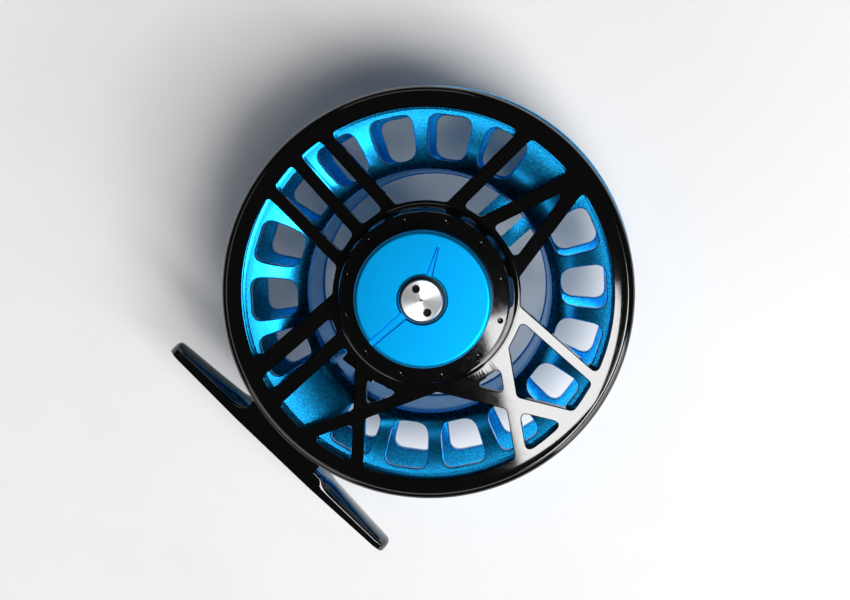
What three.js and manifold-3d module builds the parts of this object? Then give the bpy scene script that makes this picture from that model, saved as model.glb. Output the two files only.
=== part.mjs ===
// Fly reel: open half frame on a reel foot, disc drag in the hub, large-arbor spool on a fixed spindle.
// Millimetres, +Z up. The spool axis is parallel to Z with the drag knob on top and the handle underneath.
// The origin is the middle of the foot's flat seat face, and the foot points to -Y.
// Heights written in the functions are counted from the flat outer face of the frame ring.

import * as THREE from 'three';
import { mergeVertices } from 'three/addons/utils/BufferGeometryUtils.js';
import Module from 'manifold-3d';

const wasm = await Module();
wasm.setup();

// ---- driving dimensions ----
const SEAT_TO_AXIS = 54.2; // foot seat face to the spool axis
const FOOT_DEPTH = 18.2; // ring face down to the middle of the foot

const RING = { inner: 42.7, flat: 45.8, chamfer: 46.5, outer: 47.5, wall: 45.0, depth: 9 };
const PLATE = 3.2; // thickness of the ribs and the ring face
const HUB_DISC = 21.6; // flat disc where the ribs end
const HUB = { base: 20.6, top: 19.4, height: 7.8, bore: 15.8, roof: 3.6, skirt: 18, depth: 12.4 };
const WINDOW_FILLET = 1.3;
const DIMPLE = { count: 12, circle: 17.9, radius: 0.6, first: 57 };

const PEDESTAL = { left: -12, right: 9.6, outer: 49.6, depth: 24.6 };
const FOOT = { length: 70, width: 15, endWidth: 9.6, end: 2.9, middle: 4.3, crown: 12, nose: 3.2 };
const FOOT_SCREW_X = 5.5;

const KNOB = { radius: 15.4, bottom: 8.2, top: 13.3, cavity: 13.2, cavityTop: 11.6 };
const CAP = { radius: 4.7, bottom: 13.4, top: 15.4, pinHole: 0.9, pinCircle: 2.9, pinAngle: 159.5 };

const SPOOL = { rear: 44, rim: 48.2, arborOut: 30, arborIn: 27, bottom: -31.5, hub: 11 };
const HOLE = { inner: 30.7, outer: 41.1, wideOut: 10.6, wideIn: 8.2, corner: 2.7, pitch: 20 };
const HANDLE_ANGLE = 86;
const HANDLE_RADIUS = 36;

const PAWL_ANGLE = 274;
const PAWL_PIVOT = 21.8;

const SPINDLE = 3;
const HEX = 7.7;

// ---- small helpers ----
const rad = (deg) => (deg * Math.PI) / 180;

const polar = (r, deg) => new THREE.Vector2(r * Math.cos(rad(deg)), r * Math.sin(rad(deg)));

function signedVolume(points, faces) {
  let six = 0;
  const [a, b, c] = [new THREE.Vector3(), new THREE.Vector3(), new THREE.Vector3()];
  for (let i = 0; i < faces.length; i += 3) {
    a.fromArray(points, faces[i] * 3);
    b.fromArray(points, faces[i + 1] * 3);
    c.fromArray(points, faces[i + 2] * 3);
    six += a.dot(b.cross(c));
  }
  return six / 6;
}

// A closed three.js geometry as a manifold solid with its faces pointing out.
function solid(geometry) {
  const bare = geometry.clone();
  bare.deleteAttribute('normal');
  bare.deleteAttribute('uv');
  const merged = mergeVertices(bare, 1e-4);
  const points = merged.attributes.position.array;
  const index = merged.index.array;
  const faces = [];
  for (let i = 0; i < index.length; i += 3) {
    const [a, b, c] = [index[i], index[i + 1], index[i + 2]];
    if (a !== b && b !== c && c !== a) faces.push(a, b, c);
  }
  if (signedVolume(points, faces) < 0) {
    for (let i = 0; i < faces.length; i += 3) {
      [faces[i], faces[i + 1]] = [faces[i + 1], faces[i]];
    }
  }
  const mesh = new wasm.Mesh({
    numProp: 3,
    vertProperties: new Float32Array(points),
    triVerts: new Uint32Array(faces),
  });
  mesh.merge();
  return new wasm.Manifold(mesh);
}

// Turned about Z from [radius, height] pairs. A profile away from the axis is closed into a ring.
function turned(profile, segments = 28) {
  const points = profile.map(([r, z]) => new THREE.Vector2(r, z));
  const first = points[0];
  const last = points[points.length - 1];
  if (first.x > 0 || last.x > 0) points.push(first.clone());
  const geometry = new THREE.LatheGeometry(points, segments);
  geometry.rotateX(Math.PI / 2);
  return solid(geometry);
}

const tube = (outer, inner, bottom, top, segments = 28) =>
  turned([[inner, bottom], [outer, bottom], [outer, top], [inner, top]], segments);

const rod = (radius, bottom, top, segments = 16) =>
  turned([[0, bottom], [radius, bottom], [radius, top], [0, top]], segments);

function prism(shape, bottom, top, curveSegments = 6) {
  const geometry = new THREE.ExtrudeGeometry(shape, {
    depth: top - bottom,
    bevelEnabled: false,
    curveSegments,
  });
  geometry.translate(0, 0, bottom);
  return solid(geometry);
}

// Closed solid through rings of equally many points, with flat ends.
function lofted(rings) {
  const count = rings[0].length;
  const top = (rings.length - 1) * count;
  const faces = [];
  for (let start = 0; start < top; start += count) {
    for (let k = 0; k < count; k++) {
      const a = start + k;
      const b = start + ((k + 1) % count);
      faces.push(a, b, b + count, a, b + count, a + count);
    }
  }
  for (let k = 1; k + 1 < count; k++) faces.push(0, k + 1, k, top, top + k, top + k + 1);
  const geometry = new THREE.BufferGeometry();
  geometry.setAttribute('position', new THREE.Float32BufferAttribute(rings.flat(2), 3));
  geometry.setIndex(faces);
  return solid(geometry);
}

function box(sizeX, sizeY, bottom, top) {
  const geometry = new THREE.BoxGeometry(sizeX, sizeY, top - bottom);
  geometry.translate(0, 0, (bottom + top) / 2);
  return solid(geometry);
}

function regular(sides, radius, turn = 0) {
  const corners = Array.from({ length: sides }, (_, i) => polar(radius, turn + (i * 360) / sides));
  return new THREE.Shape(corners);
}

const shifted = (body, r, deg) => body.translate([...polar(r, deg).toArray(), 0]);

const ring = (count, first, make) =>
  Array.from({ length: count }, (_, i) => make(first + (i * 360) / count));

const cutAll = (body, cutters) => cutters.reduce((rest, cutter) => rest.subtract(cutter), body);

const joinAll = (bodies) => bodies.reduce((sum, body) => sum.add(body));

// Closed outline through corner points, every corner rounded off over the given distance.
function roundedOutline(corners, radius) {
  const path = new THREE.Shape();
  corners.forEach((corner, i) => {
    const before = corners[(i + corners.length - 1) % corners.length];
    const after = corners[(i + 1) % corners.length];
    const back = before.clone().sub(corner);
    const ahead = after.clone().sub(corner);
    const cut = Math.min(radius, back.length() / 2.1, ahead.length() / 2.1);
    const start = corner.clone().add(back.setLength(cut));
    const end = corner.clone().add(ahead.setLength(cut));
    if (i === 0) path.moveTo(start.x, start.y);
    else path.lineTo(start.x, start.y);
    path.quadraticCurveTo(corner.x, corner.y, end.x, end.y);
  });
  path.closePath();
  return path;
}

// ---- frame: straight ribs between the hub and the ring ----
// heading: the way the rib runs from ring to hub. miss: how far its middle line passes the axis,
// positive with the axis on its right. width: across the rib.
const RIB = {
  leftLow: { heading: 84.5, miss: 12.3, width: 3.9 },
  leftMid: { heading: 86, miss: 5.6, width: 3.3 },
  fanLow: { heading: 358.5, miss: -8.6, width: 2.8 },
  fanMid: { heading: 355.5, miss: -1.8, width: 2.9 },
  fanHigh: { heading: 356, miss: 7.2, width: 3.0 },
  top: { heading: 268.2, miss: -10.1, width: 3.3 },
  forkUpper: { heading: 250, miss: -8.8, width: 3.2 },
  forkLower: { heading: 277, miss: 12.95, width: 3.3 },
  right: { heading: 182.3, miss: -11.0, width: 2.5 },
  crossRight: { heading: 143.2, miss: -15.2, width: 2.9 },
  beamRight: { heading: 210, miss: 19.5, width: 3.4 },
  crossLeft: { heading: 131, miss: 14.3, width: 2.8 },
  beamLeft: { heading: 64.5, miss: -20.4, width: 2.8 },
};

const RIM = { radius: RING.inner };
const CORE = { radius: HUB_DISC };
const CORE_WIDE = { radius: 22.4 };
const CORE_WIDEST = { radius: 23.3 };

// One side of a rib as a straight edge. side +1 is the left side along its heading.
const side = (rib, way) => ({ heading: rib.heading, miss: rib.miss + (way * rib.width) / 2 });

// Every window is the loop of edges around it, counter-clockwise.
const WINDOWS = [
  [RIM, side(RIB.leftLow, 1), CORE, side(RIB.fanLow, -1)],
  [RIM, side(RIB.fanLow, 1), CORE, side(RIB.fanMid, -1)],
  [RIM, side(RIB.fanMid, 1), CORE, side(RIB.fanHigh, -1)],
  [RIM, side(RIB.fanHigh, 1), CORE, side(RIB.top, -1)],
  [RIM, side(RIB.top, 1), CORE, side(RIB.forkUpper, -1)],
  [side(RIB.forkUpper, 1), CORE, side(RIB.forkLower, -1)],
  [RIM, side(RIB.forkLower, 1), CORE, side(RIB.right, -1)],
  [RIM, side(RIB.right, 1), CORE_WIDE, side(RIB.crossRight, -1), side(RIB.beamRight, -1)],
  [side(RIB.crossRight, 1), CORE_WIDEST, side(RIB.beamRight, -1)],
  [RIM, side(RIB.crossRight, -1), side(RIB.beamRight, 1)],
  [RIM, side(RIB.crossRight, 1), side(RIB.beamRight, 1), side(RIB.beamLeft, -1), side(RIB.crossLeft, -1)],
  [CORE_WIDEST, side(RIB.crossLeft, -1), side(RIB.beamLeft, 1)],
  [RIM, side(RIB.beamLeft, -1), side(RIB.crossLeft, 1)],
  [RIM, side(RIB.beamLeft, 1), side(RIB.crossLeft, 1), CORE_WIDE, side(RIB.leftMid, -1)],
  [RIM, side(RIB.leftMid, 1), CORE_WIDE, side(RIB.leftLow, -1)],
];

function along(edge, distance) {
  const heading = polar(1, edge.heading);
  const normal = polar(1, edge.heading + 90);
  return normal.multiplyScalar(edge.miss).addScaledVector(heading, distance);
}

function meet(first, second) {
  if (first.radius || second.radius) {
    const circle = first.radius ? first : second;
    const line = first.radius ? second : first;
    return along(line, -Math.sqrt(circle.radius ** 2 - line.miss ** 2));
  }
  const turn = rad(second.heading - first.heading);
  const distance = (second.miss - first.miss * Math.cos(turn)) / -Math.sin(turn);
  return along(first, distance);
}

// Points along the arc between two corners, ends left out.
function arcPoints(radius, from, to) {
  const start = from.angle();
  let sweep = to.angle() - start;
  if (sweep > Math.PI) sweep -= 2 * Math.PI;
  if (sweep < -Math.PI) sweep += 2 * Math.PI;
  const steps = Math.max(2, Math.round(Math.abs(sweep) / rad(7)));
  return Array.from({ length: steps - 1 }, (_, i) => {
    const angle = start + (sweep * (i + 1)) / steps;
    return new THREE.Vector2(radius * Math.cos(angle), radius * Math.sin(angle));
  });
}

function windowOutline(edges) {
  const count = edges.length;
  const path = new THREE.Path();
  const corners = edges.map((edge, i) => meet(edges[(i + count - 1) % count], edge));
  const towards = (i, j) => {
    // direction out of corner i along the edge that leads to corner j
    const edge = edges[j === (i + 1) % count ? i : j];
    const chord = corners[j].clone().sub(corners[i]);
    if (!edge.radius) return chord;
    const near = arcPoints(edge.radius, corners[i], corners[j])[0];
    return near.sub(corners[i]).setLength(chord.length());
  };
  corners.forEach((corner, i) => {
    const before = (i + count - 1) % count;
    const after = (i + 1) % count;
    const back = towards(i, before);
    const ahead = towards(i, after);
    const opening = back.clone().normalize().dot(ahead.clone().normalize());
    const reach = WINDOW_FILLET / Math.tan(Math.acos(opening) / 2);
    const cut = Math.min(reach, 3.4, back.length() / 2.2, ahead.length() / 2.2);
    const start = corner.clone().add(back.setLength(cut));
    const end = corner.clone().add(ahead.setLength(cut));
    if (i === 0) path.moveTo(start.x, start.y);
    else path.lineTo(start.x, start.y);
    path.quadraticCurveTo(corner.x, corner.y, end.x, end.y);
    if (edges[i].radius) {
      const last = corners[after];
      arcPoints(edges[i].radius, corner, last)
        .filter((p) => p.distanceTo(corner) > cut + 0.5 && p.distanceTo(last) > 3.6)
        .forEach((p) => path.lineTo(p.x, p.y));
    }
  });
  path.closePath();
  return path;
}

function ribPlate() {
  const shape = regular(72, RING.inner + 1);
  shape.holes = WINDOWS.map(windowOutline);
  const settings = { depth: PLATE, bevelEnabled: false, curveSegments: 3 };
  const geometry = new THREE.ExtrudeGeometry(shape, settings);
  geometry.translate(0, 0, -PLATE);
  return solid(geometry);
}

function frameRing() {
  const { inner, flat, chamfer, outer, wall, depth } = RING;
  const shoulder = [75, 50, 25, 0].map((turn) => {
    const point = polar(1.4, turn);
    return [outer - 1.4 + point.x, -1.85 + point.y];
  });
  return turned(
    [
      [inner, -PLATE],
      [inner, 0],
      [flat, 0],
      [chamfer, -0.45],
      ...shoulder,
      [outer, 0.4 - depth],
      [outer - 0.4, -depth],
      [wall, -depth],
      [wall, -PLATE],
    ],
    72,
  );
}

// Drag housing before boring: the boss behind the plate and the skirt in front of it.
function hubBoss() {
  const { base, top, height, skirt, depth } = HUB;
  return turned(
    [
      [0, -depth],
      [skirt, -depth],
      [skirt, -PLATE],
      [HUB_DISC, -PLATE],
      [HUB_DISC, 0],
      [base, 0],
      [top, height - 0.5],
      [top - 0.5, height],
      [0, height],
    ],
    48,
  );
}

// The bore for the drag stack, with its three keyways.
function drumBore() {
  const { bore, roof, depth } = HUB;
  const keyway = (deg) => shifted(box(2.6, 3.8, -depth - 1, roof).rotate([0, 0, deg]), bore, deg);
  const keyways = ring(3, 30, keyway);
  return joinAll([rod(bore, -depth - 1, roof, 48), ...keyways]);
}

const atPawl = (body) => body.rotate([0, 0, PAWL_ANGLE]);

// Lug beside the housing for the click pawl, with a slotted post that grips the leaf spring.
function pawlLug() {
  const outline = roundedOutline([polar(16, -15), polar(16, 14), polar(25.8, 9), polar(25.8, -13)], 2);
  const post = box(2.4, 2.6, -14.9, -12).subtract(box(1.1, 4, -16, -12.4)).translate([24.7, -4.3, 0]);
  const pinHole = rod(1.2, -13, -8).translate([PAWL_PIVOT, 0, 0]);
  return atPawl(prism(outline, -12.4, -9).add(post).subtract(pinHole));
}

function pedestal() {
  const { left, right, outer, depth } = PEDESTAL;
  const middle = [(left + right) / 2, -(outer + 40) / 2, 0];
  const block = box(right - left, outer - 40, -depth, -1.9).translate(middle);
  const screwHole = rod(1.25, 0, 5, 16).rotate([-90, 0, 0]).translate([0, -outer - 1, -FOOT_DEPTH]);
  return cutAll(block, [
    rod(45.6, -depth - 1, 0, 72),
    screwHole.translate([FOOT_SCREW_X, 0, 0]),
    screwHole.translate([-FOOT_SCREW_X, 0, 0]),
  ]);
}

function backFrame() {
  const body = joinAll([ribPlate(), frameRing(), hubBoss(), pawlLug(), pedestal()]);
  const dimples = ring(DIMPLE.count, DIMPLE.first, (deg) =>
    shifted(turned([[0, 7.1], [DIMPLE.radius + 0.3, 8.1], [0, 8.1]], 6), DIMPLE.circle, deg));
  const legHoles = ring(3, 90, (deg) => shifted(rod(1.4, 3, 9, 12), 10, deg));
  return cutAll(body, [
    drumBore(),
    ...dimples,
    ...legHoles,
    rod(3.7, 3, 9),
    shifted(rod(1.15, 4.8, 9, 12), 14.2, 200),
  ]);
}

// ---- foot and its two screws ----
// Outline of the foot's cross-section at a distance from its middle: flat underneath, domed on the
// side of the reel, and squarer towards the middle.
function footSection(x) {
  const { length, width, endWidth, end, middle, crown, nose } = FOOT;
  const out = Math.max(0, (Math.abs(x) - crown) / (length / 2 - crown));
  const left = length / 2 - Math.abs(x);
  const inset = nose - Math.sqrt(nose ** 2 - Math.max(0, nose - left) ** 2);
  const half = THREE.MathUtils.lerp(width, endWidth, out) / 2 - inset;
  const blunt = left < 1 ? 0.6 + 0.4 * Math.sqrt(1 - (1 - left) ** 2) : 1;
  const height = (end + (middle - end) * (1 - out) ** 1.2) * blunt;
  const power = 2 / (2 + 8 * (1 - out) ** 4);
  const edge = 0.25 * height;
  const outline = [[x, 0, -half], [x, 0, half]];
  for (let step = 0; step <= 12; step++) {
    const turn = (step * Math.PI) / 12;
    const across = Math.sign(Math.cos(turn)) * Math.abs(Math.cos(turn)) ** power;
    outline.push([x, edge + (height - edge) * Math.abs(Math.sin(turn)) ** power, half * across]);
  }
  return outline;
}

function reelFoot() {
  const half = FOOT.length / 2;
  const arm = [0, 0.25, 0.7, 1.5, 3.2, 7, 11, 15, 19, half - FOOT.crown].map((left) => half - left);
  const places = [...arm.map((x) => -x), ...arm.reverse()];
  const holeProfile = [[0, -1], [2.75, -1], [2.75, 0.35], [1.55, 1.6], [1.55, 6], [0, 6]];
  const screwHole = turned(holeProfile, 20).rotate([-90, 0, 0]);
  const holes = [-FOOT_SCREW_X, FOOT_SCREW_X].map((x) => screwHole.translate([x, 0, 0]));
  return cutAll(lofted(places.map(footSection)), holes).translate([0, -SEAT_TO_AXIS, -FOOT_DEPTH]);
}

function footScrew(x) {
  const screw = turned([[0, 0.1], [2.45, 0.1], [2.45, 0.3], [1.2, 1.55], [0.95, 8.4], [0, 8.4]], 20);
  const socket = prism(regular(6, 0.85), -1, 1.1);
  return screw
    .subtract(socket)
    .rotate([-90, 0, 0])
    .translate([x, -SEAT_TO_AXIS, -FOOT_DEPTH]);
}

// ---- spindle ----
function spindle() {
  const shaft = turned([
    [0, 12],
    [3.2, 12],
    [3.2, 3.3],
    [6.4, 3.3],
    [6.4, 2],
    [SPINDLE, 2],
    [SPINDLE, -29.9],
    [2.4, -30.3],
    [2.4, -31.3],
    [SPINDLE, -31.7],
    [2.2, -33.2],
    [0, -33.2],
  ]);
  return shaft.subtract(rod(2.1, 8.7, 13));
}

const spindleNut = () => prism(regular(6, 5.6), 8.1, 10.6).subtract(rod(3.5, 7, 12));

// ---- knob group ----
function dragKnob() {
  const { radius, bottom, top, cavity, cavityTop } = KNOB;
  const body = turned(
    [
      [3.6, cavityTop],
      [cavity, cavityTop],
      [cavity, bottom],
      [radius - 0.3, bottom],
      [radius, bottom + 0.3],
      [radius, top - 0.8],
      [radius - 0.8, top],
      [5.5, top],
      [5.5, top - 0.95],
      [3.6, top - 0.95],
    ],
    48,
  );
  const outline = (corners) => new THREE.Shape(corners.map(([x, y]) => new THREE.Vector2(x, y)));
  const long = outline([[0, -1.1], [12, -0.3], [12, 0.3], [0, 1.1]]);
  const wide = outline([[0, -1.2], [17, -0.75], [17, 0.75], [0, 1.2]]);
  return cutAll(body, [
    prism(long, top - 0.5, top + 1).rotate([0, 0, 73.4 + 43.5]),
    prism(wide, top - 0.5, top + 1).rotate([0, 0, 221 + 43.5]),
  ]);
}

function knobCap() {
  const { radius, bottom, top, pinHole, pinCircle, pinAngle } = CAP;
  const screw = turned([
    [0, 9.3],
    [1.8, 9.3],
    [1.8, bottom],
    [radius, bottom],
    [radius, top - 0.25],
    [radius - 0.25, top],
    [0, top],
  ]);
  const holes = ring(2, pinAngle, (deg) => shifted(rod(pinHole, top - 1.1, top + 1, 16), pinCircle, deg));
  const centre = turned([[0, top - 0.5], [0.45, top + 0.1], [0, top + 0.1]], 10);
  return cutAll(screw, [...holes, centre]);
}

const capWasher = () => tube(5.25, 3.3, 12.6, 13.2);

// Threaded ring under the knob with three legs that reach through the housing roof.
function thrustSpider() {
  const ringBody = tube(12.8, 6.9, 8.6, 10.4, 32);
  const legs = ring(3, 90, (deg) => shifted(rod(1.1, 3.2, 9, 12), 10, deg));
  return joinAll([ringBody, ...legs]);
}

const clickBall = () =>
  solid(new THREE.SphereGeometry(0.85, 12, 8)).translate([...polar(14.2, 200).toArray(), 7.1]);

class Helix extends THREE.Curve {
  constructor(radius, bottom, top, turns) {
    super();
    Object.assign(this, { radius, bottom, top, turns });
  }

  getPoint(t, target = new THREE.Vector3()) {
    const angle = 2 * Math.PI * this.turns * t;
    const height = this.bottom + (this.top - this.bottom) * t;
    return target.set(this.radius * Math.cos(angle), this.radius * Math.sin(angle), height);
  }
}

function coil(radius, wire, bottom, top, turns) {
  const path = new Helix(radius, bottom + wire, top - wire, turns);
  const geometry = new THREE.ExtrudeGeometry(regular(6, wire), {
    steps: Math.round(turns * 8),
    bevelEnabled: false,
    extrudePath: path,
  });
  return solid(geometry);
}

const detentSpring = () => shifted(coil(0.65, 0.18, 4.9, 6.2, 3), 14.2, 200);

// ---- drag stack, from the housing roof down to the cover ----
const coneWasher = (profile) => turned(profile, 28);

const springWasherUpper = () => coneWasher([[7.5, 2.45], [12, 2.0], [12, 2.5], [7.5, 2.95]]);

const springWasherLower = () => coneWasher([[7.5, 0.8], [12, 1.2], [12, 1.7], [7.5, 1.3]]);

// Plate with three ears that slide in the keyways of the housing.
function earedPlate(bottom, top) {
  const plate = tube(15.4, 8.9, bottom, top, 32);
  const ears = ring(3, 30, (deg) => shifted(box(2.2, 3.2, bottom, top).rotate([0, 0, deg]), 15.5, deg));
  return joinAll([plate, ...ears]);
}

const pressurePlate = () => earedPlate(-0.9, 0.5);

const frictionDisc = (top) => tube(15.2, 8.9, top - 0.9, top, 32);

const rotorPlate = () => {
  const plate = tube(15.2, 8.3, -3.4, -2.4, 32);
  const teeth = ring(4, 0, (deg) => shifted(box(1.6, 2.2, -3.4, -2.4).rotate([0, 0, deg]), 7.9, deg));
  return joinAll([plate, ...teeth]);
};

const reactionPlate = () => earedPlate(-5.9, -4.9);

function dragRotor() {
  const body = turned([
    [5.7, -2.2],
    [8, -2.2],
    [8, -7.4],
    [15.2, -7.4],
    [15.2, -8.9],
    [8, -8.9],
    [8, -12.8],
    [5.7, -12.8],
  ]);
  const hex = prism(regular(6, HEX), -15.6, -12.8).subtract(rod(5.7, -16, -12));
  const slots = ring(4, 0, (deg) => shifted(box(2.4, 2.8, -6, -1).rotate([0, 0, deg]), 8, deg));
  return cutAll(body.add(hex), slots);
}

const rollerClutch = () => tube(5.4, 3.3, -14.9, -7.2, 24);

// Sealed ball bearing: two races and the shields between them as one ring.
const bearing = (outer, bottom, top) =>
  turned(
    [
      [3.3, bottom],
      [4, bottom],
      [4.4, bottom + 0.25],
      [outer - 0.6, bottom + 0.25],
      [outer - 0.4, bottom],
      [outer, bottom],
      [outer, top],
      [3.3, top],
    ],
    20,
  );

function dragCover() {
  const cover = turned([
    [9.6, -10.4],
    [15.5, -10.4],
    [15.5, -12.4],
    [8.4, -12.4],
    [8.4, -11.6],
    [9.6, -11.6],
  ]);
  const spanner = ring(4, 45, (deg) => shifted(rod(0.8, -13, -11.6, 10), 13, deg));
  return cutAll(cover, spanner);
}

const coverSeal = () => tube(9.3, 8.3, -11.3, -10.4, 28);

// ---- clicker ----
function clickGear() {
  const corners = [];
  for (let i = 0; i < 36; i += 1) {
    corners.push(polar(14.4, i * 10), polar(13.2, i * 10 + 5));
  }
  return prism(new THREE.Shape(corners), -15.3, -13.9).subtract(rod(11.3, -16, -13, 32));
}

const pawlPin = () => atPawl(rod(0.9, -15.6, -9.3, 14).translate([PAWL_PIVOT, 0, 0]));

function clickPawl() {
  const corners = [polar(14.7, 0), polar(20.5, 7), polar(24, 4), polar(24, -4), polar(20.5, -7)];
  const eye = rod(1.2, -16, -12, 14).translate([PAWL_PIVOT, 0, 0]);
  return atPawl(prism(roundedOutline(corners, 1), -15.2, -12.7).subtract(eye));
}

const pawlSpring = () => atPawl(box(0.5, 9.6, -14.8, -12.7).translate([24.7, 0, 0]));

// ---- spool ----
function spoolTurning() {
  const { rear, rim, arborOut, arborIn, bottom } = SPOOL;
  return turned(
    [
      [arborIn, bottom + 1],
      [rim - 0.9, bottom],
      [rim, bottom + 0.9],
      [rim, bottom + 6],
      [rim - 1.5, bottom + 6],
      [rim - 1.8, bottom + 2.6],
      [arborOut + 1.5, bottom + 2.8],
      [arborOut, bottom + 4.2],
      [arborOut, -10.6],
      [arborOut + 0.6, -9.4],
      [rear - 1.2, -6.2],
      [rear, -6],
      [rear, -4],
      [rear - 0.8, -3.7],
      [rear - 2.2, -4.4],
      [30.6, -7.4],
      [28.8, -9],
      [28, -12],
    ],
    54,
  );
}

function spoolHole() {
  const { inner, outer, wideOut, wideIn, corner } = HOLE;
  const corners = [[inner, -wideIn / 2], [outer, -wideOut / 2], [outer, wideOut / 2], [inner, wideIn / 2]];
  return prism(roundedOutline(corners.map(([x, y]) => new THREE.Vector2(x, y)), corner), -34, 0, 3);
}

// Hub with its four thin web arms, in pairs beside the handle and the counterweight.
function spoolHub() {
  const hub = turned([[0, -12.8], [SPOOL.hub, -12.8], [SPOOL.hub, -31], [0, -31]]);
  const arms = ring(2, HANDLE_ANGLE, (deg) =>
    joinAll([-3.9, 3.9].map((miss) =>
      box(20, 3.3, -30.6, -28.2).translate([18.4, miss, 0]).rotate([0, 0, deg]))));
  return joinAll([hub, ...arms]);
}

function spool() {
  const holes = ring(18, HANDLE_ANGLE, (deg) => deg)
    .filter((deg) => (deg - HANDLE_ANGLE) % 180 !== 0)
    .map((deg) => spoolHole().rotate([0, 0, deg]));
  const postHole = (deg) => shifted(rod(1.6, -32, -27, 16), HANDLE_RADIUS, deg);
  return cutAll(joinAll([spoolTurning(), spoolHub()]), [
    ...holes,
    postHole(HANDLE_ANGLE),
    postHole(HANDLE_ANGLE + 180),
    prism(regular(6, HEX + 0.35), -16, -12),
    rod(5.8, -34, -15),
  ]);
}

// ---- spool release in the front hub ----
const hubCap = () => turned([[4.7, -31.3], [10.4, -31.3], [10.4, -33.6], [9.8, -34.2], [4.7, -34.2]]);

// Push button with a flange kept in by the cap, hollow above to clear the spindle's end.
const releaseButton = () =>
  turned(
    [
      [0, -35.9],
      [3.8, -35.9],
      [4.4, -35.4],
      [4.4, -31],
      [5.5, -31],
      [5.5, -30.4],
      [3.3, -30.4],
      [3.3, -34.7],
      [0, -34.7],
    ],
    24,
  );

const releaseSpring = () => coil(4.6, 0.25, -30.1, -28.7, 2);

// ---- handle and counterweight ----
const HANDLE_TOP = SPOOL.bottom - 0.5;

const atHandle = (body) => shifted(body, HANDLE_RADIUS, HANDLE_ANGLE);

const atCounterweight = (body) => shifted(body, HANDLE_RADIUS, HANDLE_ANGLE + 180);

function handlePost() {
  const post = turned(
    [
      [0, -27.5],
      [1.3, -27.5],
      [1.3, HANDLE_TOP],
      [3, HANDLE_TOP],
      [3, -33],
      [2, -33],
      [2, -50],
      [0, -50],
    ],
    20,
  );
  return atHandle(post.subtract(rod(1.1, -51, -44, 12)));
}

function handleKnob() {
  const body = turned([
    [2.3, -33.3],
    [4.6, -33.3],
    [5, -33.9],
    [4, -38],
    [4.4, -43],
    [5.8, -48],
    [6, -50.2],
    [5.4, -51.6],
    [3.6, -51.6],
    [3.6, -49.6],
    [2.3, -49.6],
  ]);
  return atHandle(body);
}

const handleWasher = () => atHandle(tube(3.3, 1.3, -50.8, -50.3, 20));

function handleScrew() {
  const profile = [[0, -52.3], [2.6, -52.3], [3, -51.9], [3, -51.1], [0.8, -51.1], [0.8, -45], [0, -45]];
  const screw = turned(profile, 20);
  return atHandle(screw.subtract(box(0.8, 8, -53, -51.8)));
}

const counterweight = () =>
  atCounterweight(turned([[1.6, -31.8], [5.6, -31.8], [5.6, -34.4], [4.9, -35], [1.6, -35]], 24));

function counterweightScrew() {
  const profile = [[0, -36.8], [2.6, -36.8], [3, -36.4], [3, -35.3], [1.2, -35.3], [1.2, -28], [0, -28]];
  const screw = turned(profile, 20);
  return atCounterweight(screw.subtract(prism(regular(6, 1.2), -37, -35.9)));
}

// ---- colours ----
const FINISH = {
  black: { color: 0x15161a, roughness: 0.38, metalness: 0.6 },
  blue: { color: 0x0a8fe0, roughness: 0.32, metalness: 0.75 },
  silver: { color: 0xd4d6d8, roughness: 0.3, metalness: 0.9 },
  steel: { color: 0x9a9da1, roughness: 0.35, metalness: 0.9 },
  brass: { color: 0xc9a24a, roughness: 0.35, metalness: 0.85 },
  carbon: { color: 0x2a2b2d, roughness: 0.8, metalness: 0.0 },
  rubber: { color: 0x101010, roughness: 0.75, metalness: 0.0 },
};

// ---- assembly ----
const group = new THREE.Group();
group.name = 'fly_reel';

function add(name, finish, body) {
  const raw = body.translate([0, SEAT_TO_AXIS, FOOT_DEPTH]).getMesh();
  const geometry = new THREE.BufferGeometry();
  geometry.setAttribute('position', new THREE.BufferAttribute(new Float32Array(raw.vertProperties), 3));
  geometry.setIndex(new THREE.BufferAttribute(new Uint32Array(raw.triVerts), 1));
  geometry.computeVertexNormals();
  const mesh = new THREE.Mesh(geometry, new THREE.MeshStandardMaterial(FINISH[finish]));
  mesh.name = name;
  group.add(mesh);
}

add('back_frame', 'black', backFrame());
add('reel_foot', 'black', reelFoot());
add('foot_screw_left', 'steel', footScrew(-FOOT_SCREW_X));
add('foot_screw_right', 'steel', footScrew(FOOT_SCREW_X));
add('spindle', 'steel', spindle());
add('spindle_nut', 'steel', spindleNut());
add('drag_knob', 'blue', dragKnob());
add('knob_cap', 'silver', knobCap());
add('knob_cap_washer', 'rubber', capWasher());
add('thrust_spider', 'steel', thrustSpider());
add('detent_ball', 'steel', clickBall());
add('detent_spring', 'steel', detentSpring());
add('spring_washer_upper', 'steel', springWasherUpper());
add('spring_washer_lower', 'steel', springWasherLower());
add('pressure_plate', 'steel', pressurePlate());
add('friction_disc_1', 'carbon', frictionDisc(-1.2));
add('rotor_plate', 'steel', rotorPlate());
add('friction_disc_2', 'carbon', frictionDisc(-3.7));
add('reaction_plate', 'steel', reactionPlate());
add('friction_disc_3', 'carbon', frictionDisc(-6.2));
add('drag_rotor', 'steel', dragRotor());
add('friction_disc_4', 'carbon', frictionDisc(-9.2));
add('roller_clutch', 'steel', rollerClutch());
add('rotor_bearing', 'steel', bearing(5.4, -6.9, -3.9));
add('drag_cover', 'black', dragCover());
add('cover_seal', 'rubber', coverSeal());
add('click_gear', 'brass', clickGear());
add('pawl_pin', 'steel', pawlPin());
add('click_pawl', 'brass', clickPawl());
add('pawl_spring', 'steel', pawlSpring());
add('spool', 'blue', spool());
add('spool_bearing_rear', 'steel', bearing(5.5, -19.6, -16.6));
add('spool_bearing_front', 'steel', bearing(5.5, -28.4, -25.4));
add('hub_cap', 'black', hubCap());
add('release_button', 'silver', releaseButton());
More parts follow.
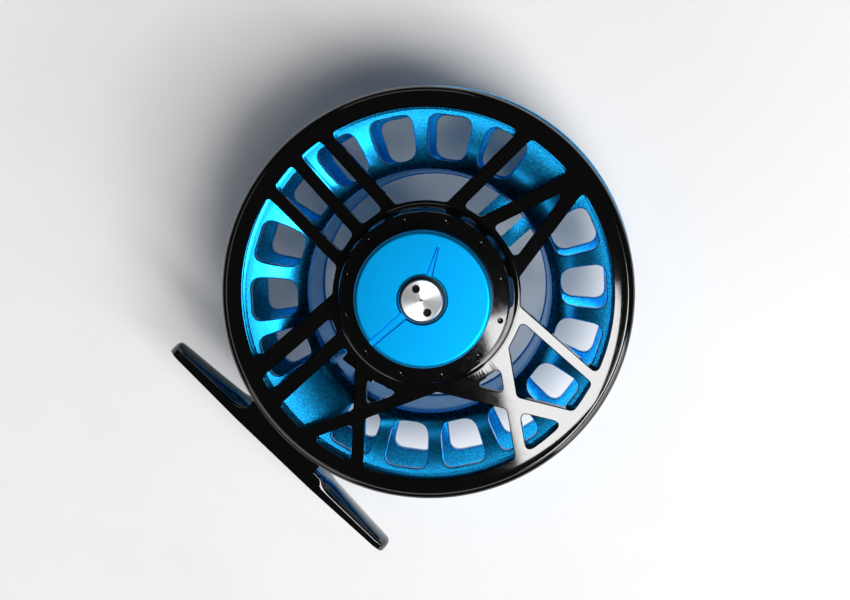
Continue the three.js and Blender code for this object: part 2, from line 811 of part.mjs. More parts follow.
add('release_spring', 'steel', releaseSpring());
add('handle_post', 'steel', handlePost());
add('handle_knob', 'black', handleKnob());
add('handle_washer', 'steel', handleWasher());
add('handle_screw', 'steel', handleScrew());
add('counterweight', 'silver', counterweight());
add('counterweight_screw', 'steel', counterweightScrew());

export default group;
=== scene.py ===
"""Fly reel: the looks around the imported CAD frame.

Lengths in the shape functions are millimetres in the reel's own frame: the spool axis is x = y = 0 and
z = 0 is the flat outer face of the frame ring. place() brings a shape into the row frame, in metres.
"""

import math

import bpy
import numpy as np
from mathutils import Matrix, Vector


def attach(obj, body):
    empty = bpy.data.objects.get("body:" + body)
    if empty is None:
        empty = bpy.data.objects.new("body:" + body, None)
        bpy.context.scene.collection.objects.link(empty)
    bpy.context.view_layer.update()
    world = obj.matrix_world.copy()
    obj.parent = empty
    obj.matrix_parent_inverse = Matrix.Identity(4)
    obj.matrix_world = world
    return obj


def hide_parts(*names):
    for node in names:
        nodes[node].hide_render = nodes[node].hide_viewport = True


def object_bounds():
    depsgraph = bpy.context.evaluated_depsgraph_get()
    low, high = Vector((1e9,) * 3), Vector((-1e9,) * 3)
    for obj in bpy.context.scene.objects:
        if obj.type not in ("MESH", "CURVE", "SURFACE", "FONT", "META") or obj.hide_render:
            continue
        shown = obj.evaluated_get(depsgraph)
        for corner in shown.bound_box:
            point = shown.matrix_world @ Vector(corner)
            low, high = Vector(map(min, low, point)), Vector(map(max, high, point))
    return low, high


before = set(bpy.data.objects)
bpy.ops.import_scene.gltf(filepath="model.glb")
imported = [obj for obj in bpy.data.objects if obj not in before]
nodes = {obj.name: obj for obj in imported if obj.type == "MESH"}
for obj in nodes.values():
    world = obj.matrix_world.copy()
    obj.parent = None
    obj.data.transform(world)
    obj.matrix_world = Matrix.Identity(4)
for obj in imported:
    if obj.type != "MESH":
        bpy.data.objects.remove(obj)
cad_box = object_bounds()

# ---- where the reel's own frame lies in the row frame, in mm ----
AXIS_Y = 54.2
RING_Z = 18.2

# ---- sizes, as in the CAD ----
RING_INNER = 42.7
PLATE = 3.2
HUB_TOP = 7.8
HUB_BOTTOM = -12.4
FOOT_DEPTH = 18.2
FOOT_HALF = 35.0
FOOT_PAD = 12.0
FOOT_NOSE = 3.2
FOOT_SCREWS = (-5.5, 5.5)
KNOB_TOP = 13.3
CAP_FACE = 15.4
SPOOL_TOP = -12.8
CLICKER_TURN = 274
PAWL_SPRING_SEAT = (24.7, -4.3)
HANDLE_RADIUS = 36
HANDLE_TURN = 86
COUNTERWEIGHT_TURN = 266

# Faces that meet at more than this many degrees keep a sharp edge between them.
SHARP = 24

# ---- the frame's open pattern ----
EDGE = 0.22  # chamfer along the windows
HUB_DISC = 21.6  # inner radius of most windows, and of those that stop further out
WIDE = 22.4
WIDEST = 23.3
RIBS = {  # heading in degrees, how far it passes from the axis, width
    "leftLow": (84.5, 12.3, 3.9),
    "leftMid": (86, 5.6, 3.3),
    "fanLow": (358.5, -8.6, 2.8),
    "fanMid": (355.5, -1.8, 2.9),
    "fanHigh": (356, 7.2, 3.0),
    "top": (268.2, -10.1, 3.3),
    "forkUpper": (250, -8.8, 3.2),
    "forkLower": (277, 12.95, 3.3),
    "right": (182.3, -11.0, 2.5),
    "crossRight": (143.2, -15.2, 2.9),
    "beamRight": (210, 19.5, 3.4),
    "crossLeft": (131, 14.3, 2.8),
    "beamLeft": (64.5, -20.4, 2.8),
}
# Each window is the loop of edges round it: a radius, or a rib and the side of it.
WINDOWS = [
    [RING_INNER, ("leftLow", 1), HUB_DISC, ("fanLow", -1)],
    [RING_INNER, ("fanLow", 1), HUB_DISC, ("fanMid", -1)],
    [RING_INNER, ("fanMid", 1), HUB_DISC, ("fanHigh", -1)],
    [RING_INNER, ("fanHigh", 1), HUB_DISC, ("top", -1)],
    [RING_INNER, ("top", 1), HUB_DISC, ("forkUpper", -1)],
    [("forkUpper", 1), HUB_DISC, ("forkLower", -1)],
    [RING_INNER, ("forkLower", 1), HUB_DISC, ("right", -1)],
    [RING_INNER, ("right", 1), WIDE, ("crossRight", -1), ("beamRight", -1)],
    [("crossRight", 1), WIDEST, ("beamRight", -1)],
    [RING_INNER, ("crossRight", -1), ("beamRight", 1)],
    [RING_INNER, ("crossRight", 1), ("beamRight", 1), ("beamLeft", -1), ("crossLeft", -1)],
    [WIDEST, ("crossLeft", -1), ("beamLeft", 1)],
    [RING_INNER, ("beamLeft", -1), ("crossLeft", 1)],
    [RING_INNER, ("beamLeft", 1), ("crossLeft", 1), WIDE, ("leftMid", -1)],
    [RING_INNER, ("leftMid", 1), WIDE, ("leftLow", -1)],
]


# ---- shape helpers ----
def polar(radius, degrees):
    angle = math.radians(degrees)
    return np.array([radius * math.cos(angle), radius * math.sin(angle)])


def unit(v):
    return v / np.linalg.norm(v)


def shape(points, faces):
    """A scratch object from points in mm and faces."""
    mesh = bpy.data.meshes.new("shape")
    mesh.from_pydata([tuple(map(float, p)) for p in points], [], [tuple(f) for f in faces])
    mesh.validate()
    made = bpy.data.objects.new("shape", mesh)
    bpy.context.scene.collection.objects.link(made)
    return made


def turned(profile, steps=128, at=(0, 0)):
    """Turned about Z from (radius, height) pairs. A profile off the axis is closed into a ring."""
    points, faces, rows = [], [], []
    for radius, height in profile:
        if radius <= 1e-6:
            rows.append([len(points)] * steps)
            points.append((at[0], at[1], height))
            continue
        rows.append(list(range(len(points), len(points) + steps)))
        for k in range(steps):
            x, y = polar(radius, 360 * k / steps)
            points.append((x + at[0], y + at[1], height))
    closed = profile[0][0] > 1e-6 or profile[-1][0] > 1e-6
    for i in range(len(rows) if closed else len(rows) - 1):
        low, high = rows[i], rows[(i + 1) % len(rows)]
        for k in range(steps):
            n = (k + 1) % steps
            corners = [low[k], low[n], high[n], high[k]]
            face = [c for j, c in enumerate(corners) if c != corners[j - 1]]
            if len(face) > 2:
                faces.append(face)
    made = shape(points, faces)
    outwards(made)
    return made


def outwards(made):
    """Turns the faces to point out of the closed shape."""
    mesh = made.data
    mesh.calc_loop_triangles()
    points = np.array([v.co for v in mesh.vertices], float)
    corners = points[np.array([t.vertices for t in mesh.loop_triangles])]
    volume = np.einsum("ij,ij->i", corners[:, 0], np.cross(corners[:, 1], corners[:, 2])).sum()
    if volume < 0:
        mesh.flip_normals()


def lofted(rings):
    """Closed solid through rings of equally many points, with flat ends."""
    count = len(rings[0])
    points = [p for ring in rings for p in ring]
    faces = []
    for i in range(len(rings) - 1):
        for k in range(count):
            n = (k + 1) % count
            faces.append((i * count + k, i * count + n, (i + 1) * count + n, (i + 1) * count + k))
    faces.append(range(count - 1, -1, -1))
    faces.append(range((len(rings) - 1) * count, len(rings) * count))
    made = shape(points, faces)
    outwards(made)
    return made


def rounded(corners, radius, steps=8):
    """Closed outline through corner points with every corner rounded."""
    corners = [np.array(c, float) for c in corners]
    out = []
    for i, corner in enumerate(corners):
        back = corners[i - 1] - corner
        ahead = corners[(i + 1) % len(corners)] - corner
        cut = min(radius, np.linalg.norm(back) / 2.1, np.linalg.norm(ahead) / 2.1)
        out += bend(corner + unit(back) * cut, corner, corner + unit(ahead) * cut, steps)
    return out


def bend(start, corner, end, steps):
    """Points of the parabola that rounds a corner off."""
    t = np.linspace(0, 1, steps + 1)[:, None]
    return list((1 - t) ** 2 * start + 2 * t * (1 - t) * corner + t**2 * end)


def grown(outline, by):
    """The outline moved outwards, or inwards where by is negative."""
    p = np.array(outline, float)
    before, after = np.roll(p, 1, 0), np.roll(p, -1, 0)
    area = np.sum(p[:, 0] * after[:, 1] - after[:, 0] * p[:, 1])
    a = p - before
    b = after - p
    a /= np.linalg.norm(a, axis=1)[:, None]
    b /= np.linalg.norm(b, axis=1)[:, None]
    normal = np.stack([a[:, 1] + b[:, 1], -(a[:, 0] + b[:, 0])], 1)
    normal /= np.linalg.norm(normal, axis=1)[:, None]
    cosine = np.clip((normal * np.stack([a[:, 1], -a[:, 0]], 1)).sum(1), 0.5, 1)
    return p + normal * (by / cosine * np.sign(area))[:, None]


def prism(outline, bottom, top):
    return lofted([[(x, y, z) for x, y in outline] for z in (bottom, top)])


def chamfered_cutter(outline, low, high, edge=EDGE, surface=None):
    """Cutter for a hole with two chamfered edges. surface gives the upper face's height at a radius."""
    rings = []
    for height, growth, upper in (
        (low - 1, edge + 1, False),
        (low + edge, 0, False),
        (high - edge, 0, True),
        (high + 1, edge + 1, True),
    ):
        ring = []
        for x, y in grown(outline, growth) if growth else outline:
            lift = surface(math.hypot(x, y)) if surface and upper else 0
            ring.append((x, y, height + lift))
        rings.append(ring)
    return lofted(rings)


def block(size_x, size_y, bottom, top, at=(0, 0), turn=0):
    """A box centred at a point, then turned about the reel's axis."""
    corners = [(-1, -1), (1, -1), (1, 1), (-1, 1)]
    outline = []
    c, s = polar(1, turn)
    for x, y in corners:
        x, y = x * size_x / 2 + at[0], y * size_y / 2 + at[1]
        outline.append((x * c - y * s, x * s + y * c))
    return prism(outline, bottom, top)


def turn_about_axis(made, degrees):
    made.data.transform(Matrix.Rotation(math.radians(degrees), 4, "Z"))
    return made


def combined(base, others, how):
    """Boolean of base with each of the others, which are used up."""
    for other in others:
        cut = base.modifiers.new("combine", "BOOLEAN")
        cut.solver = "MANIFOLD"
        cut.operation = how
        cut.object = other
    bpy.context.view_layer.update()
    mesh = bpy.data.meshes.new_from_object(base.evaluated_get(bpy.context.evaluated_depsgraph_get()))
    base.modifiers.clear()
    base.data = mesh
    for other in others:
        bpy.data.objects.remove(other)
    return base


def place(made, name, material, body, *stands_for):
    """Brings a shape into the row frame in metres and gives it its shading, material and body."""
    mesh = made.data
    mesh.transform(Matrix.Scale(0.001, 4) @ Matrix.Translation((0, AXIS_Y, RING_Z)))
    mesh.materials.clear()
    mesh.materials.append(material)
    mesh.shade_smooth()
    mesh.set_sharp_from_angle(angle=math.radians(SHARP))
    made.name = name
    mesh.name = name
    weighted = made.modifiers.new("even shading", "WEIGHTED_NORMAL")
    weighted.keep_sharp = True
    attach(made, body)
    if stands_for:
        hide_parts(*stands_for)
    return made


# ---- the frame's windows ----
def edge_of(entry):
    """(radius, None) for an arc, or (heading, miss) for one side of a rib."""
    if isinstance(entry, tuple):
        heading, miss, width = RIBS[entry[0]]
        return heading, miss + entry[1] * width / 2
    return entry, None


def along(edge, distance):
    return polar(1, edge[0] + 90) * edge[1] + polar(1, edge[0]) * distance


def meet(first, second):
    if first[1] is None or second[1] is None:
        circle, line = (first, second) if first[1] is None else (second, first)
        return along(line, -math.sqrt(circle[0] ** 2 - line[1] ** 2))
    turn = math.radians(second[0] - first[0])
    return along(first, (second[1] - first[1] * math.cos(turn)) / -math.sin(turn))


def arc_points(radius, start, end, step=2.0):
    a = math.degrees(math.atan2(start[1], start[0]))
    sweep = (math.degrees(math.atan2(end[1], end[0])) - a + 180) % 360 - 180
    count = max(2, round(abs(sweep) / step))
    return [polar(radius, a + sweep * (i + 1) / count) for i in range(count - 1)]


def window_outline(entries, fillet=1.3):
    edges = [edge_of(e) for e in entries]
    count = len(edges)
    corners = [meet(edges[i - 1], edges[i]) for i in range(count)]

    def towards(i, j):
        edge = edges[i if j == (i + 1) % count else j]
        chord = corners[j] - corners[i]
        if edge[1] is not None:
            return chord
        near = arc_points(edge[0], corners[i], corners[j])[0] - corners[i]
        return unit(near) * np.linalg.norm(chord)

    out = []
    for i, corner in enumerate(corners):
        after = (i + 1) % count
        back, ahead = towards(i, (i - 1) % count), towards(i, after)
        opening = math.acos(float(np.clip(unit(back) @ unit(ahead), -1, 1)))
        shortest = min(np.linalg.norm(back), np.linalg.norm(ahead))
        cut = min(fillet / math.tan(opening / 2), 3.4, shortest / 2.2)
        out += bend(corner + unit(back) * cut, corner, corner + unit(ahead) * cut, 7)
        if edges[i][1] is None:
            last = corners[after]
            room = min(3.6, np.linalg.norm(last - corner) / 2)
            out += [
                p
                for p in arc_points(edges[i][0], corner, last)
                if np.linalg.norm(p - corner) > cut + 0.3 and np.linalg.norm(p - last) > room
            ]
    return out


# ---- materials ----
class Nodes:
    """Small helper for building a node tree."""

    def __init__(self, name):
        self.material = bpy.data.materials.new(name)
        self.material.use_nodes = True
        self.tree = self.material.node_tree
        self.bsdf = next(n for n in self.tree.nodes if n.type == "BSDF_PRINCIPLED")
        self.coords = self.tree.nodes.new("ShaderNodeTexCoord").outputs["Object"]

    def node(self, kind, settings=None, **inputs):
        made = self.tree.nodes.new(kind)
        for key, value in (settings or {}).items():
            setattr(made, key, value)
        for key, value in inputs.items():
            self.feed(made.inputs[key.replace("_", " ")], value)
        return made

    def feed(self, socket, value):
        if isinstance(value, bpy.types.NodeSocket):
            self.tree.links.new(value, socket)
        else:
            socket.default_value = value

    def noise(self, scale, detail=3.0, roughness=0.55):
        made = self.node("ShaderNodeTexNoise", Scale=scale, Detail=detail, Roughness=roughness)
        self.feed(made.inputs["Vector"], self.coords)
        return made.outputs["Fac"]

    def spread(self, value, low, high, to_low, to_high):
        made = self.node("ShaderNodeMapRange")
        made.clamp = True
        for key, number in (("From Min", low), ("From Max", high), ("To Min", to_low), ("To Max", to_high)):
            made.inputs[key].default_value = number
        self.feed(made.inputs["Value"], value)
        return made.outputs["Result"]

    def blend(self, factor, first, second):
        made = self.node("ShaderNodeMix", {"data_type": "RGBA"})
        self.feed(made.inputs["Factor"], factor)
        self.feed(made.inputs["A"], first)
        self.feed(made.inputs["B"], second)
        return made.outputs["Result"]

    def math(self, operation, first, second=0.0):
        made = self.node("ShaderNodeMath", {"operation": operation})
        self.feed(made.inputs[0], first)
        self.feed(made.inputs[1], second)
        return made.outputs[0]

    def radius(self):
        """Distance from the reel's axis, in mm."""
        shifted = self.node("ShaderNodeVectorMath", {"operation": "SUBTRACT"})
        self.feed(shifted.inputs[0], self.coords)
        shifted.inputs[1].default_value = (0, AXIS_Y / 1000, 0)
        flat = self.node("ShaderNodeVectorMath", {"operation": "MULTIPLY"})
        self.feed(flat.inputs[0], shifted.outputs[0])
        flat.inputs[1].default_value = (1000, 1000, 0)
        length = self.node("ShaderNodeVectorMath", {"operation": "LENGTH"})
        self.feed(length.inputs[0], flat.outputs[0])
        return length.outputs["Value"]

    def height(self):
        """Height in the row frame, in mm."""
        split = self.node("ShaderNodeSeparateXYZ")
        self.feed(split.inputs[0], self.coords)
        return self.math("MULTIPLY", split.outputs["Z"], 1000.0)

    def bump(self, height, strength, distance):
        made = self.node("ShaderNodeBump", Strength=strength, Distance=distance)
        self.feed(made.inputs["Height"], height)
        self.feed(self.bsdf.inputs["Normal"], made.outputs["Normal"])

    def set(self, **sockets):
        for key, value in sockets.items():
            self.feed(self.bsdf.inputs[key.replace("_", " ")], value)


def black_anodised():
    m = Nodes("black_anodised")
    cloud = m.noise(90, 4)
    dust = m.spread(m.noise(2600, 2, 0.7), 0.71, 0.78, 0.0, 0.2)
    patchy = m.spread(m.noise(60, 3), 0.45, 0.65, 0.0, 1.0)
    base = m.blend(cloud, (0.0008, 0.0008, 0.001, 1), (0.0018, 0.0018, 0.0022, 1))
    m.set(
        Base_Color=m.blend(m.math("MULTIPLY", dust, patchy), base, (0.25, 0.25, 0.26, 1)),
        Roughness=m.spread(m.noise(700, 4), 0.3, 0.7, 0.03, 0.05),
        Metallic=0.0,
    )
    m.bsdf.inputs["Specular IOR Level"].default_value = 0.9
    m.bump(m.noise(5000, 2), 0.25, 0.0000015)
    return m.material


def blue_anodised(name, grain, rough, coat, depth=1.0):
    """Blue dyed metal. depth below 1 darkens the blue: painted shade for a part that catches more light."""
    m = Nodes(name)
    deep, light = ((0.0, green * depth, blue * depth, 1) for green, blue in ((0.37, 0.84), (0.42, 0.9)))
    m.set(
        Base_Color=m.blend(m.noise(120, 3), deep, light),
        Roughness=m.spread(m.noise(1500, 3), 0.3, 0.7, rough - 0.04, rough + 0.04),
        Metallic=1.0,
    )
    m.bsdf.inputs["Coat Weight"].default_value = coat
    m.bsdf.inputs["Coat Roughness"].default_value = rough
    m.bump(m.noise(11000, 2, 0.6), grain, 0.000004)
    return m.material


def turned_metal(name, colour, rough, pitch=14.0, strength=0.25, anisotropy=0.0, painted_shade_below=None):
    """Metal with fine turning marks round the reel's axis. Below the given height in mm it is painted nearly
    black: painted shade in the holes.
    """
    m = Nodes(name)
    rings = m.math("SINE", m.math("MULTIPLY", m.radius(), pitch * 2 * math.pi))
    uneven = m.math("MULTIPLY", rings, m.noise(400, 3))
    colour = m.blend(m.noise(300, 3), tuple(0.92 * c for c in colour) + (1,), tuple(colour) + (1,))
    # Painted shade: nearly black below the given height, so the spanner holes and the centre mark look deep;
    # the cap's side below it goes dark as well.
    if painted_shade_below is not None:
        colour = m.blend(m.math("LESS_THAN", m.height(), painted_shade_below), colour, (0.02, 0.02, 0.02, 1))
    m.set(
        Base_Color=colour,
        Roughness=m.spread(m.noise(900, 4), 0.3, 0.7, rough * 0.85, rough * 1.15),
        Metallic=1.0,
    )
    m.bump(uneven, strength, 0.000004)
    if anisotropy:
        m.bsdf.inputs["Anisotropic"].default_value = anisotropy
        tangent = m.node("ShaderNodeTangent", {"direction_type": "RADIAL", "axis": "Z"})
        m.feed(m.bsdf.inputs["Tangent"], tangent.outputs[0])
    return m.material


def carbon():
    m = Nodes("carbon_disc")
    weave = m.node("ShaderNodeTexChecker", Scale=900.0)
    m.feed(weave.inputs["Vector"], m.coords)
    m.set(
        Base_Color=m.blend(weave.outputs["Fac"], (0.02, 0.02, 0.022, 1), (0.045, 0.045, 0.05, 1)),
        Roughness=m.spread(m.noise(800), 0.3, 0.7, 0.45, 0.6),
    )
    m.bump(weave.outputs["Fac"], 0.3, 0.00005)
    return m.material


def rubber():
    m = Nodes("seal_rubber")
    m.set(
        Base_Color=m.blend(m.noise(500), (0.006, 0.006, 0.006, 1), (0.014, 0.014, 0.014, 1)),
        Roughness=m.spread(m.noise(1200), 0.3, 0.7, 0.55, 0.75),
    )
    m.bump(m.noise(5000), 0.1, 0.00005)
    return m.material


BLACK = black_anodised()
BLUE = blue_anodised("blue_anodised", 0.005, 0.25, 0.3)
# The knob's blue is darkened to 0.82 as painted shade, to tone down the light its upward face catches.
BLUE_FINE = blue_anodised("blue_blasted", 0.2, 0.42, 0.05, 0.82)
# The cap's holes get painted shade: nearly black below 15.1 mm in the reel's frame.
CAP_METAL = turned_metal(
    "bright_cap", (0.86, 0.87, 0.88), 0.36, pitch=7.0, strength=0.12, anisotropy=0.8, painted_shade_below=RING_Z + 15.1
)
STEEL = turned_metal("steel", (0.56, 0.57, 0.59), 0.28)
BRASS = turned_metal("brass", (0.78, 0.57, 0.25), 0.25)
CARBON = carbon()
RUBBER = rubber()


# ---- frame ----
def open_plate():
    """The flat disc with the windows cut out of it."""
    plate = turned([(15.0, -PLATE), (15.0, 0), (44.2, 0), (44.2, -PLATE)], 180)
    return combined(plate, [chamfered_cutter(window_outline(w), -PLATE, 0.0) for w in WINDOWS], "DIFFERENCE")


def ring():
    """The ring with its chamfer, rounded shoulder and skirt."""
    shoulder = [(46.1 + x, -1.85 + y) for x, y in (polar(1.4, a) for a in range(78, -1, -13))]
    return turned(
        [
            (43.6, -PLATE),
            (43.6, 0),
            (45.8, 0),
            (46.02, -0.06),
            (46.35, -0.36),
            *shoulder,
            (47.5, -8.6),
            (47.1, -9.0),
            (45.3, -9.0),
            (45.0, -8.7),
            (45.0, -PLATE - 0.4),
            (44.6, -PLATE),
        ],
        256,
    )


def boss():
    """The hub boss, not yet hollow."""
    return turned(
        [
            (0, HUB_BOTTOM),
            (17.7, HUB_BOTTOM),
            (18, HUB_BOTTOM + 0.3),
            (18, -3.6),
            (18.4, -PLATE),
            (21.2, -PLATE),
            (21.2, 0),
            (20.9, 0.05),
            (20.66, 0.2),
            (20.56, 0.5),
            (19.45, 7.2),
            (19.3, HUB_TOP - 0.25),
            (18.95, HUB_TOP),
            (0, HUB_TOP),
        ],
        192,
    )


def clicker_lug():
    """The lug beside the hub that carries the pawl and the seat of its spring."""
    outline = rounded([polar(16, -15), polar(16, 14), polar(25.8, 9), polar(25.8, -13)], 2)
    seat = block(2.4, 2.6, -14.9, -12, PAWL_SPRING_SEAT)
    return turn_about_axis(combined(prism(outline, HUB_BOTTOM, -9), [seat], "UNION"), CLICKER_TURN)


def pedestal():
    """The block under the ring that the foot is screwed to."""
    outline = rounded([(-12, -49.6), (9.6, -49.6), (9.6, -40), (-12, -40)], 0.5, 3)
    bore = turned([(0, -26), (45.6, -26), (45.6, 1), (0, 1)], 192)
    return combined(prism(outline, -24.6, -1.95), [bore], "DIFFERENCE")


def foot_screw_hole(profile, steps, x, y):
    """Cutter along Y for one of the foot's screws."""
    hole = turned(profile, steps)
    lie_down = Matrix.Rotation(math.radians(-90), 4, "X")
    hole.data.transform(Matrix.Translation((x, y, -FOOT_DEPTH)) @ lie_down)
    return hole


def frame_body():
    """The one-piece frame: bore and keyways for the drag, index holes, and holes for the pusher's legs."""
    body = combined(open_plate(), [ring(), boss(), clicker_lug(), pedestal()], "UNION")
    cutters = [turned([(0, -14), (15.8, -14), (15.8, 3.6), (0, 3.6)], 128)]
    cutters += [block(2.6, 3.8, -14, 3.6, (15.8, 0), turn) for turn in (30, 150, 270)]
    index = [(0, 7.25), (0.3, 7.3), (0.56, 7.55), (0.66, HUB_TOP), (0.75, 8.5), (0, 8.5)]
    cutters += [turned(index, 24, polar(17.9, 57 + 30 * k)) for k in range(12)]
    for turn in (90, 210, 330):
        cutters.append(turned([(0, 3), (1.4, 3), (1.4, 9), (0, 9)], 24, polar(10, turn)))
    cutters.append(turned([(0, 3), (3.7, 3), (3.7, 9), (0, 9)], 48))
    slot = block(1.1, 4, -16, HUB_BOTTOM, PAWL_SPRING_SEAT)
    pin_hole = turned([(0, -13), (1.2, -13), (1.2, -8), (0, -8)], 24, (21.8, 0))
    cutters += [turn_about_axis(slot, CLICKER_TURN), turn_about_axis(pin_hole, CLICKER_TURN)]
    cutters += [foot_screw_hole([(0, 0), (1.25, 0), (1.25, 5), (0, 5)], 24, x, -50.6) for x in FOOT_SCREWS]
    return combined(body, cutters, "DIFFERENCE")


place(frame_body(), "frame_casting", BLACK, "frame", "back_frame")


# ---- foot ----
def foot_section(x):
    """Outline across the foot at a distance from its middle, domed on the side of the reel.

    The foot gets narrower and thinner from its pad to its rounded nose, and the dome gets rounder.
    """
    out = max(0.0, (abs(x) - FOOT_PAD) / (FOOT_HALF - FOOT_PAD))
    left = FOOT_HALF - abs(x)
    half = 7.5 - 2.7 * out - FOOT_NOSE + math.sqrt(FOOT_NOSE**2 - max(0.0, FOOT_NOSE - left) ** 2)
    blunt = 0.6 + 0.4 * math.sqrt(max(0.0, 1 - (1 - left) ** 2)) if left < 1 else 1
    height = (2.9 + 1.4 * (1 - out) ** 1.2) * blunt
    power = 2 / (2 + 8 * (1 - out) ** 30)
    edge = 0.45 * height
    outline = [(0.12, 0.25 - half), (0, 0.6 - half), (0, half - 0.6), (0.12, half - 0.25)]
    for turn in np.linspace(0, math.pi, 41):
        across = math.copysign(abs(math.cos(turn)) ** power, math.cos(turn))
        outline.append((edge + (height - edge) * abs(math.sin(turn)) ** power, half * across))
    return [(x, y - AXIS_Y, z - FOOT_DEPTH) for y, z in outline]


def foot():
    """The foot with its two countersunk screw holes."""
    nose = FOOT_HALF - FOOT_NOSE * (1 - np.sin(np.linspace(0, 0.5, 14) * math.pi))
    arm = np.concatenate([np.linspace(FOOT_PAD, FOOT_HALF - FOOT_NOSE, 16)[:-1], nose])
    body = lofted([foot_section(x) for x in np.concatenate([-arm[::-1], arm])])
    countersink = [(0, -1), (2.9, -1), (2.9, 0), (2.75, 0.15), (2.75, 0.35), (1.55, 1.6), (1.55, 6), (0, 6)]
    cutters = [foot_screw_hole(countersink, 48, x, -AXIS_Y) for x in FOOT_SCREWS]
    return combined(body, cutters, "DIFFERENCE")


place(foot(), "foot_bar", BLACK, "frame", "reel_foot")


# ---- spool ----
DISH_OUTER = 42.2
DISH_INNER = 30.2
PORT = [(30.7, -4.1), (41.1, -5.3), (41.1, 5.3), (30.7, 4.1)]


def near_flange(radius):
    """Height of the near flange's upper face, a shallow dish that gets steeper towards the arbor."""
    inwards = min(1.0, max(0.0, (DISH_OUTER - radius) / (DISH_OUTER - DISH_INNER)))
    return -4.25 - 0.95 * inwards - 2.6 * inwards**2.5


def flanges_and_arbor():
    return turned(
        [
            (27.0, -30.4),
            (27.3, -30.65),
            (28.2, -30.75),
            (28.5, -30.95),
            (47.3, -31.5),
            (47.75, -31.4),
            (48.1, -31.0),
            (48.1, -25.9),
            (47.9, -25.5),
            (46.9, -25.5),
            (46.7, -25.7),
            (46.45, -28.6),
            (46.0, -28.9),
            (31.6, -28.7),
            (30.6, -28.3),
            (30.1, -27.6),
            (30.0, -26.8),
            (30.0, -10.8),
            (30.2, -9.9),
            (30.9, -9.3),
            (42.6, -6.2),
            (43.8, -6.0),
            (44.0, -5.8),
            (44.0, -4.3),
            (43.8, -4.0),
            (43.3, -3.8),
            (42.7, -3.95),
            *[(r, near_flange(r)) for r in np.linspace(DISH_OUTER, DISH_INNER, 25)],
            (29.5, -8.35),
            (28.6, -9.3),
            (28.1, -11.0),
            (27.9, -12.4),
            (27.3, -29.0),
            (27.0, -29.3),
        ],
        192,
    )


def port_cutters(turn):
    """The cutters for one port in the near flange and the port behind it in the far flange."""
    for shrink, low, high, surface in ((0.0, -11.0, 0.0, near_flange), (0.35, -31.4, -28.8, None)):
        outline = rounded([(x, y - math.copysign(shrink, y)) for x, y in PORT], 3.0, 8)
        yield turn_about_axis(chamfered_cutter(outline, low, high, 0.2, surface), turn)


def spool_body():
    """The ported spool with its hub and the thin arms that carry it."""
    hub = turned([(0, SPOOL_TOP), (10.7, SPOOL_TOP), (11, -13.1), (11, -31), (0, -31)], 96)
    sides = (HANDLE_TURN, COUNTERWEIGHT_TURN)
    arms = [block(20, 3.3, -30.6, -28.2, (18.4, miss), turn) for turn in sides for miss in (-3.9, 3.9)]
    body = combined(flanges_and_arbor(), [hub, *arms], "UNION")
    ports = [HANDLE_TURN + 20 * k for k in range(18) if k % 9 != 0]
    cutters = [cutter for turn in ports for cutter in port_cutters(turn)]
    for turn in sides:
        cutters.append(turned([(0, -32), (1.6, -32), (1.6, -27), (0, -27)], 32, polar(HANDLE_RADIUS, turn)))
    cutters.append(prism([polar(8.05, 60 * k) for k in range(6)], -16, -12))
    cutters.append(turned([(0, -34), (5.8, -34), (5.8, -15), (0, -15)], 64))
    return combined(body, cutters, "DIFFERENCE")


place(spool_body(), "spool_turned", BLUE, "spool", "spool")


# ---- drag knob, its cap and the washer ----
def tapered_groove(half_widths, length, turn):
    """Cutter for a V-sided pointer groove that starts at the axis."""
    depth, slope = 0.5, 0.32
    near, far = half_widths
    rings = []
    for height, extra in ((KNOB_TOP - depth, -slope), (KNOB_TOP + 0.4, 0.4 * slope / depth)):
        w0, w1 = max(0.05, near + extra), max(0.04, far + extra)
        rings.append([(0, -w0, height), (length, -w1, height), (length, w1, height), (0, w0, height)])
    return turn_about_axis(lofted(rings), turn)


def knob():
    """The drag knob with its short and its long pointer groove."""
    body = turned(
        [
            (3.6, 11.6),
            (13.2, 11.6),
            (13.2, 8.2),
            (15.1, 8.2),
            (15.4, 8.5),
            (15.4, 12.5),
            (15.3, 12.8),
            (15.1, 13.05),
            (14.8, 13.22),
            (14.45, KNOB_TOP),
            (5.75, KNOB_TOP),
            (5.5, 13.1),
            (5.45, 12.35),
            (3.6, 12.35),
        ],
        256,
    )
    grooves = [tapered_groove((1.15, 0.25), 12.2, 116.9), tapered_groove((1.2, 0.8), 17.5, 264.5)]
    return combined(body, grooves, "DIFFERENCE")


def cap():
    """The knob's cap with its centre mark and two spanner holes."""
    body = turned(
        [
            (0, 9.3),
            (1.8, 9.3),
            (1.8, 13.4),
            (4.5, 13.4),
            (4.7, 13.6),
            (4.7, 15.1),
            (4.62, 15.28),
            (4.45, CAP_FACE),
            (0, CAP_FACE),
        ],
        128,
    )
    cutters = [turned([(0, 14.95), (0.12, 15.05), (0.42, 15.38), (0.5, 15.6), (0, 15.6)], 32)]
    spanner_hole = [(0, 13.9), (0.85, 13.9), (0.85, 15.3), (0.95, CAP_FACE), (1.0, 16), (0, 16)]
    cutters += [turned(spanner_hole, 48, polar(2.9, turn)) for turn in (159.5, 339.5)]
    return combined(body, cutters, "DIFFERENCE")


place(knob(), "knob_blasted", BLUE_FINE, "knob", "drag_knob")
place(cap(), "cap_turned", CAP_METAL, "frame", "knob_cap")


